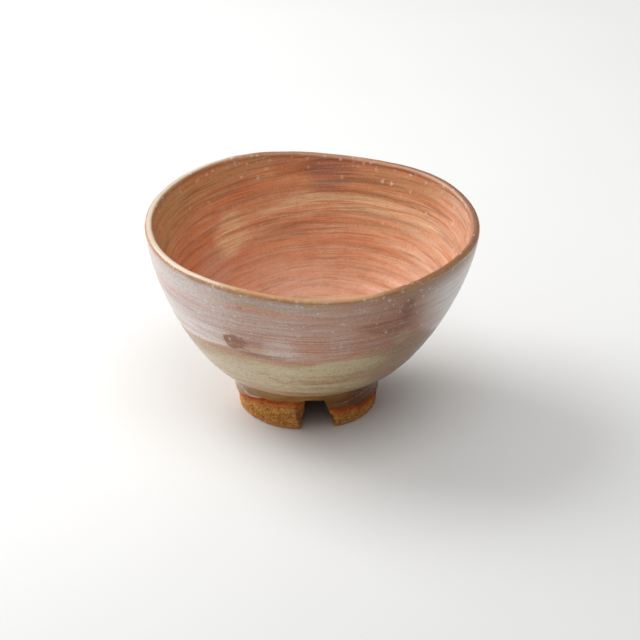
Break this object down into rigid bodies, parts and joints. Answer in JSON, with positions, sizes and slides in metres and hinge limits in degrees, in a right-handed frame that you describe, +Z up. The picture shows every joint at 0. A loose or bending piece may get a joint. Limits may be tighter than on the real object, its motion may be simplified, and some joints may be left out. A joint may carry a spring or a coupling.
{
  "type": "matcha tea bowl",
  "caption": "Hand-thrown tea bowl with an uneven lip, a milky glaze inside and out, and a bare clay foot ring with a notch.",
  "frame": {"origin": "under the middle of the lip, on the surface the foot stands on", "axes": "+Z up through the bowl's mouth; the foot's notch faces -Y, turned 9.5 degrees towards +X"},
  "size_m": [0.13, 0.13, 0.0816],
  "materials": {
    "body_clay": "fired, unglazed, slightly sandy",
    "foot_clay": "coarse bare clay, flashed orange",
    "inner_glaze": "glossy thin glaze over orange-brown clay",
    "outer_glaze": "glossy milky glaze, lilac-grey above and pale green below",
    "foot_glaze": "glossy thick glaze roll"
  },
  "bodies": {
    "root": {"clay_body": "body_clay", "foot_ring": "foot_clay", "inner_glaze": "inner_glaze", "outer_glaze": "outer_glaze", "foot_glaze": "foot_glaze"}
  },
  "joints": []
}
